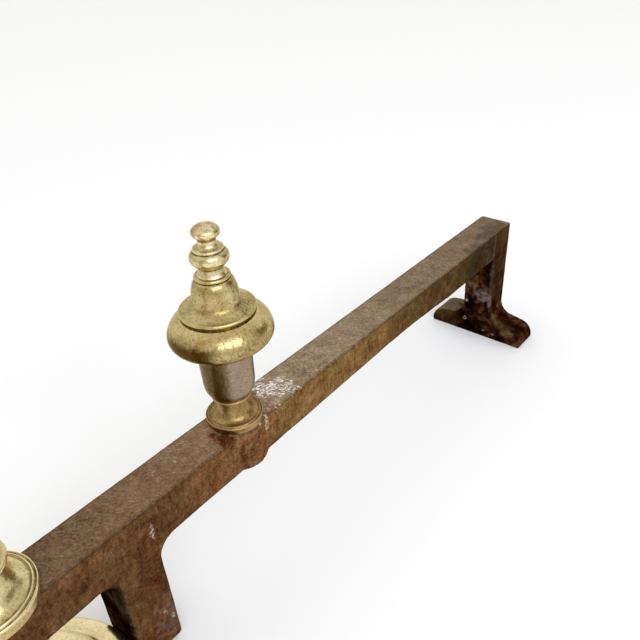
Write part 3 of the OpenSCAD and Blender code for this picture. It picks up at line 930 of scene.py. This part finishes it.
def turned_piece(name, node, outline, axis_y, foot, finish, ease):
    """One brass piece: its outline is drawn as a line, and the lathe revolves it."""
    outline = evenly(eased(outline, ease), ROW_SPACING)
    grooves, crests = curvature(outline, GROOVE_REACH)
    drawn = bpy.data.meshes.new(name + "_outline")
    drawn.from_pydata(
        [(r * MM, 0.0, h * MM) for r, h in outline],
        [(i, i + 1) for i in range(len(outline) - 1)],
        [],
    )
    keep_masks(drawn, {"groove": grooves, "crest": crests})
    host = bpy.data.objects.new(name + "_host", drawn)
    bpy.context.scene.collection.objects.link(host)
    turning = host.modifiers.new("turning", "NODES")
    turning.node_group = TURNED
    turning[TURNED_INPUTS["facets"]] = FACETS
    turning[TURNED_INPUTS["axis_y"]] = axis_y * MM
    turning[TURNED_INPUTS["foot"]] = foot * MM
    turning[TURNED_INPUTS["finish"]] = finish
    piece = plain_mesh(host, name)
    browned = [tarnish_and_shade(vertex.co / MM, axis_y) for vertex in piece.data.vertices]
    keep_masks(piece.data, {"tarnish_and_shade": browned})
    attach(piece, ROOT)
    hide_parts(node)


def stack(pieces, axis_y, foot):
    """Turned pieces one on another: name, CAD node, outline, scale, finish."""
    for name, node, outline, scale, finish in pieces:
        ease = EDGE_EASE * scale
        turned_piece(name, node, grown(outline, scale), axis_y, foot, finish, ease)
        foot += scale * max(h for _, h in outline)


stack(
    [
        ("stop_pedestal", "log_stop_pedestal", pedestal_outline(), 1, PEDESTAL_BRASS),
        ("stop_ring", "log_stop_ring", ring_outline(11.6, 2.1), 1, PEDESTAL_BRASS),
        ("stop_cup", "log_stop_cup", cup_outline(), 1, CUP_BRASS),
        ("stop_ball", "log_stop_ball", ball_outline(), 1, STOP_BRASS),
        ("stop_bell", "log_stop_bell", bell_outline(), 1, STOP_BRASS),
        ("stop_knop", "log_stop_knop", knop_outline(), 1, TOP_BRASS),
        ("stop_button", "log_stop_button", button_outline(), 1, TOP_BRASS),
    ],
    STOP_Y,
    BAR_TOP,
)
stack(
    [
        ("round_base", "front_base", base_outline(), 1, FRONT_BRASS),
        ("ring_on_base", "base_ring", ring_outline(20.5, 5.5), 1, FRONT_BRASS),
        ("baluster_under_bar", "lower_baluster", baluster_outline(), 1, FRONT_BRASS),
    ],
    COLUMN_Y,
    0.0,
)
stack(
    [
        ("column_foot", "column_pedestal", pedestal_outline(), FRONT_SCALE, COLUMN_BRASS),
        ("column_foot_bead", "column_bead", ring_outline(11.6, 2.1), FRONT_SCALE, COLUMN_BRASS),
        ("column_body", "column_vase", vase_outline(), 1, COLUMN_BRASS),
        ("column_middle_ring", "column_collar", collar_outline(), 1, COLUMN_BRASS),
        ("column_waist", "column_spool", spool_outline(), 1, COLUMN_BRASS),
        ("column_top_cup", "column_cup", cup_outline(), FRONT_SCALE, COLUMN_BRASS),
        ("column_top_ball", "column_ball", ball_outline(), FRONT_SCALE, COLUMN_BRASS),
        ("column_top_bell", "column_bell", bell_outline(), FRONT_SCALE, COLUMN_BRASS),
        ("column_top_knop", "column_knop", knop_outline(), FRONT_SCALE, COLUMN_BRASS),
        ("column_top_button", "column_button", button_outline(), FRONT_SCALE, COLUMN_BRASS),
    ],
    COLUMN_Y,
    BAR_TOP,
)


# -------------------------------------------------------------- billet casting

# Pale chips and painted glints on the casting's side: centre, radii; and pale dots on the foot,
# partly pale wear and partly painted glints of small lumps: x, z, radius
PALE_CHIPS_AND_GLINTS = (
    ((14, -137.5, 92), (3, 1.2, 5)),
    ((14.6, -48.2, 105), (3, 1.4, 7)),
    ((17, -55.5, 108), (2.5, 1.4, 2)),
    ((14.2, -143, 29), (3, 1.4, 1.6)),
    ((14.2, -139, 22), (3, 1.0, 3)),
    ((16, -71.5, 108), (2, 1.3, 1.6)),
)
PALE_DOTS_AND_GLINTS = ((-10.3, 33.6, 1.7), (-11.1, 13.9, 2.0), (9.2, 7.2, 1.4), (19.1, 5.9, 1.5))

# How light the casting is: place along the bar (or height above the floor), lightness
SIDE_TONE = (
    (-170, 0.74), (-125, 0.72), (-90, 1.02), (-55, 1.18), (20, 1.40), (60, 1.32),
    (100, 0.74), (150, 0.56), (200, 0.40), (225, 0.28), (240, 0.30), (262, 0.42),
)
HEIGHT_TONE = ((0, 1.0), (30, 1.0), (60, 0.76), (75, 0.92), (110, 1.0))
TOP_TONE = (
    (-170, 0.84), (-110, 1.0), (-70, 1.25), (-40, 1.2), (20, 1.22), (60, 1.14),
    (110, 0.96), (170, 0.92), (235, 0.80), (262, 0.84),
)

# Patches on the casting: strength, centre, radii, how ragged the edge is and by what size
RUST_PATCHES = (
    (1.0, (9, -78, 109), (10, 5.5, 5), 0.6, 4.0),
    (0.9, (14, -69.3, 94), (4, 2.6, 11), 0.7, 4.0),
    (0.8, (14, -158, 18), (6, 16, 10), 0.9, 4.0),
    (0.5, (14, -140, 58), (5, 16, 5), 0.8, 5.0),
    (0.2, (13, 258, 92), (7, 12, 14), 0.8, 6.0),
)
# The scaly patch behind the log stop lies aslant the bar; the other worn places don't.
SCALY_PATCHES = (
    (1.0, (-2, -27, BAR_TOP), (11, 9, 6), 0.8, 5.0),
    (0.72, (1, -24, BAR_TOP), (17, 15, 6), 0.9, 5.0),
)
WORN_PATCHES = (
    (0.45, (2, 6, BAR_TOP), (16, 22, 5), 0.5, 6.0),
    (0.55, (10, -40, BAR_TOP), (9, 9, 5), 0.5, 4.0),
    (0.42, (-4, -100, BAR_TOP), (12, 22, 5), 0.6, 6.0),
)
SOOT_PATCHES = (
    (0.75, (14, 207, 92), (9, 13, 26), 0.6, 7.0),
    (0.42, (14, 214, 94), (12, 28, 28), 0.5, 9.0),
    (0.50, (9, 245, 108), (12, 22, 18), 0.6, 9.0),
)
# Haze: a whitish stain on the foot's front, painted highlights along the stem's right front corner,
# and a patch on the front leg's side.
HAZE_AND_HIGHLIGHT_PATCHES = (
    (0.32, (6, FOOT_FRONT_Y, 43), (10, 4, 6), 0.9, 5.0),
    (0.40, (12.5, FOOT_FRONT_Y, 40), (2.5, 4, 11), 0.5, 5.0),
    (0.10, (13.8, 240.5, 97), (3, 2.6, 16), 0.5, 9.0),
    (0.12, (13.1, 243, 64), (2.4, 2.8, 26), 0.5, 9.0),
    (0.16, (14, -141, 24), (3, 9, 20), 1.2, 4.0),
)
DARK_STEM_PATCH = ((0.75, (15, 225, 92), (7, 17, 13), 0.6, 9.0),)
LEG_CORNER_PATCH = ((0.08, (14, LEG_FRONT_Y, 34), (2.2, 2.2, 34), 1.2, 2.0),)


def patchy(point, patches):
    """The strongest of some patches at a point."""
    return max(
        strength * near(point, centre, radii, ragged=ragged, size=size)
        for strength, centre, radii, ragged, size in patches
    )


def along_bar(stops, place):
    """The lightness at a place, between the two stops beside it."""
    for (low, first), (high, second) in zip(stops, stops[1:]):
        if place < high:
            return first + (second - first) * smooth_step(place, low, high)
    return stops[-1][1]


def iron_masks(x, y, z):
    """Where the casting is rusty, worn, sooty, dark and pale, as seen in the photograph."""
    here = (x, y, z)
    rough = noise.noise(Vector(here) / 16.0)
    ragged = noise.noise(Vector(here) / 5.0)
    slant = (x, y + 0.35 * (1 - x), z)
    # The rear foot is near black below the bar.
    dark = smooth_step(y, 238.0, 242.4) * (1 - smooth_step(z + 8 * rough, 84, 96))
    dark = max(dark, patchy(here, DARK_STEM_PATCH))
    olive = smooth_step(10 * rough + 4 * ragged - x, 14, 28) * (1 - smooth_step(z, 18, 24))
    dark *= 1 - 0.75 * olive
    # Its right front corner stays lighter: a painted highlight on the rounded edge.
    dark *= 1 - 0.60 * smooth_step(x, 12.0, 13.0) * smooth_step(z, 28, 44)
    # Pale chips and dots, partly painted glints.
    pale = patchy(here, LEG_CORNER_PATCH) * (1 - smooth_step(z, 55, 70))
    for centre, radii in PALE_CHIPS_AND_GLINTS:
        pale = max(pale, near(here, centre, radii, ragged=0.7, size=2.2))
    for drop_x, drop_z, drop_r in PALE_DOTS_AND_GLINTS:
        centre = (drop_x, FOOT_FRONT_Y, drop_z)
        pale = max(pale, near(here, centre, (drop_r, 3, drop_r), ragged=0.0))
    front = 1 - smooth_step(y + 14 * rough, -60, -30)
    return {
        "rust": patchy(here, RUST_PATCHES),
        "worn": max(patchy(slant, SCALY_PATCHES), patchy(here, WORN_PATCHES)),
        "soot": patchy(here, SOOT_PATCHES),
        "dark": dark,
        # The front leg's face towards the column: painted shade.
        "painted_leg_shade": (1 - smooth_step(y, -163.2, -162.2)) * (1 - smooth_step(z, 72, 82)),
        "pale": pale,
        "haze_and_highlight": patchy(here, HAZE_AND_HIGHLIGHT_PATCHES),
        "side_tone": along_bar(SIDE_TONE, y + 10 * rough) * along_bar(HEIGHT_TONE, z),
        "top_tone": along_bar(TOP_TONE, y + 10 * rough),
        "front_red": front,
        "red_side": max(front, smooth_step(y, 208, 226)),
    }


# In metres: corners of the solid's facets that are one, and the even mesh's step
WELD_GAP = 0.00001
MESH_STEP = 0.00098
# The sand's hollows: how far the skin lies in, and what each size of lump adds to that
SKIN_SINK = 0.06
SAND_LUMPS = ((22.0, 0.16), (6.5, 0.08), (2.4, 0.04))
# The sole stays flat up to this height.
SOLE_H = 1.2


def arris_turns(mesh, normals):
    """How sharply the mesh bends at each point, in radians."""
    turns = [0.0] * len(mesh.vertices)
    for edge in mesh.edges:
        a, b = edge.vertices
        turn = normals[a].angle(normals[b], 0.0)
        turns[a] = max(turns[a], turn)
        turns[b] = max(turns[b], turn)
    return turns


def billet():
    """The iron casting: a copy of the solid, made an even mesh, eased and roughened."""
    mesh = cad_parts["billet_casting"].data.copy()
    mesh.name = "billet_copy"
    host = bpy.data.objects.new("billet_host", mesh)
    bpy.context.scene.collection.objects.link(host)
    weld = host.modifiers.new("weld", "WELD")
    weld.merge_threshold = WELD_GAP
    even = host.modifiers.new("even", "REMESH")
    even.mode = "VOXEL"
    even.voxel_size = MESH_STEP
    ease = host.modifiers.new("ease", "SMOOTH")
    ease.factor = 0.5
    ease.iterations = 2
    piece = plain_mesh(host, "billet")
    made = piece.data
    made.materials.clear()
    made.materials.append(IRON)
    count = len(made.vertices)
    masks = {name: [0.0] * count for name in (*iron_masks(0, 0, 0), "arris")}
    normals = [v.normal.copy() for v in made.vertices]
    turns = arris_turns(made, normals)
    for vertex, normal in zip(made.vertices, normals):
        x, y, z = (c / MM for c in vertex.co)
        point = Vector((x, y, z))
        for key, value in iron_masks(x, y, z).items():
            masks[key][vertex.index] = value
        masks["arris"][vertex.index] = smooth_step(turns[vertex.index], 0.20, 0.50)
        sink = SKIN_SINK
        for lump, depth in SAND_LUMPS:
            sink += depth * noise.noise(point / lump)
        off_sole = smooth_step(z, 0.0, SOLE_H)
        vertex.co -= normal * max(0.0, sink) * off_sole * MM
    keep_masks(made, masks)
    made.polygons.foreach_set("use_smooth", [True] * len(made.polygons))
    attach(piece, ROOT)
    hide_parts("billet_casting")


billet()

# The rods, the nut and the washer keep their solids' own shapes.
for node_name in ("log_stop_stud", "tie_rod", "tie_rod_nut", "tie_rod_washer"):
    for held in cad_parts[node_name].material_slots:
        held.material = ROD_IRON


# ------------------------------------------------------------- floor and light

# Half the floor's side, in metres
FLOOR_REACH = 12.0


def floor_material():
    """Pale, plain and matt."""
    material, tree, shader = new_material("studio_floor")
    cloud = grain(tree, object_place(tree), 0.8, detail=1.0)
    colour = mix_colour(tree, cloud, (0.945, 0.945, 0.94), (0.965, 0.965, 0.96))
    tree.links.new(colour, shader.inputs["Base Color"])
    shader.inputs["Roughness"].default_value = 0.8
    shader.inputs["Specular IOR Level"].default_value = 0.1
    return material


def studio_floor():
    mesh = bpy.data.meshes.new("floor")
    signs = ((-1, -1), (1, -1), (1, 1), (-1, 1))
    corners = [(FLOOR_REACH * x, FLOOR_REACH * y, 0.0) for x, y in signs]
    mesh.from_pydata(corners, [], [(0, 1, 2, 3)])
    mesh.materials.append(floor_material())
    floor = bpy.data.objects.new("floor", mesh)
    bpy.context.scene.collection.objects.link(floor)


def towards(azimuth, elevation):
    """A direction: azimuth from +Y towards +X, elevation above the floor, in degrees."""
    a, e = math.radians(azimuth), math.radians(elevation)
    return Vector((math.sin(a) * math.cos(e), math.cos(a) * math.cos(e), math.sin(e)))


# Darker and lighter things in the room, which the brass reflects: azimuth and elevation in
# degrees, half width, flatness, soft edge, colour
ROOM_THINGS = (
    (-165, 9, 1.15, 2.6, 0.55, (0.70, 0.67, 0.61)),
    (30, 18, 0.42, 1.0, 0.16, (0.24, 0.205, 0.07)),
    (20, 27, 0.14, 1.0, 0.06, (1.6, 1.55, 1.5)),
)


def vector_node(tree, operation, values, output):
    """One sum on vectors."""
    made = add_node(tree, "ShaderNodeVectorMath", values, operation=operation)
    return made.outputs[output]


def studio_world():
    """A pale room with a few soft things in it."""
    world = bpy.data.worlds.new("studio")
    bpy.context.scene.world = world
    world.use_nodes = True
    tree = world.node_tree
    tree.nodes.clear()
    output = tree.nodes.new("ShaderNodeOutputWorld")
    looking = tree.nodes.new("ShaderNodeTexCoord").outputs["Generated"]
    colour = (1.0, 1.0, 1.0)
    for azimuth, elevation, reach, flat, soft, shade in ROOM_THINGS:
        middle = towards(azimuth, elevation)
        aside = vector_node(tree, "SUBTRACT", {0: looking, 1: middle}, "Vector")
        aside = vector_node(tree, "MULTIPLY", {0: aside, 1: (1.0, 1.0, flat)}, "Vector")
        far = vector_node(tree, "LENGTH", {0: aside}, "Value")
        outside = step_between(tree, far, reach - soft, reach)
        colour = mix_colour(tree, outside, shade, colour)
    room = add_node(tree, "ShaderNodeBackground", {"Strength": 1.0})
    tree.links.new(colour, room.inputs["Color"])
    tree.links.new(room.outputs[0], output.inputs["Surface"])


def soft_lamp(name, place, target, width, height, power, colour):
    """A wide lamp that faces a target; sizes in metres, power in watts."""
    data = bpy.data.lights.new(name, "AREA")
    data.shape = "RECTANGLE"
    data.size = width
    data.size_y = height
    data.energy = power
    data.color = colour
    lamp = bpy.data.objects.new(name, data)
    lamp.location = place
    lamp.rotation_euler = (Vector(target) - Vector(place)).to_track_quat("-Z", "Y").to_euler()
    bpy.context.scene.collection.objects.link(lamp)


# The photograph's viewpoint, found from the bar's edges and the turned rims: place in metres,
# right and up directions, focal length and picture width in pixels
CAMERA_PLACE = (0.24578, -0.25474, 0.37401)
CAMERA_RIGHT = Vector((0.77014374, 0.63536991, -0.05642428))
CAMERA_UP = Vector((-0.31044377, 0.45062446, 0.83699597))
FOCAL_PIXELS = 679.265
PICTURE_PIXELS = 640.0
SENSOR_MM = 36.0


def camera():
    data = bpy.data.cameras.new("camera")
    data.sensor_fit = "HORIZONTAL"
    data.sensor_width = SENSOR_MM
    data.lens = FOCAL_PIXELS / PICTURE_PIXELS * SENSOR_MM
    data.clip_start = 0.01
    data.clip_end = 100.0
    view = bpy.data.objects.new("camera", data)
    back = CAMERA_RIGHT.cross(CAMERA_UP)
    turn = Matrix((CAMERA_RIGHT, CAMERA_UP, back)).transposed().to_4x4()
    view.matrix_world = Matrix.Translation(CAMERA_PLACE) @ turn
    bpy.context.scene.collection.objects.link(view)
    bpy.context.scene.camera = view


studio_floor()
studio_world()
stop_middle = Vector((0, STOP_Y * MM, 0.17))
window_place = stop_middle + 1.7 * towards(112, 39)
soft_lamp("window", window_place, stop_middle, 1.3, 0.75, 9.5, (0.92, 0.96, 1.12))
camera()
bpy.context.scene.view_settings.view_transform = "Standard"
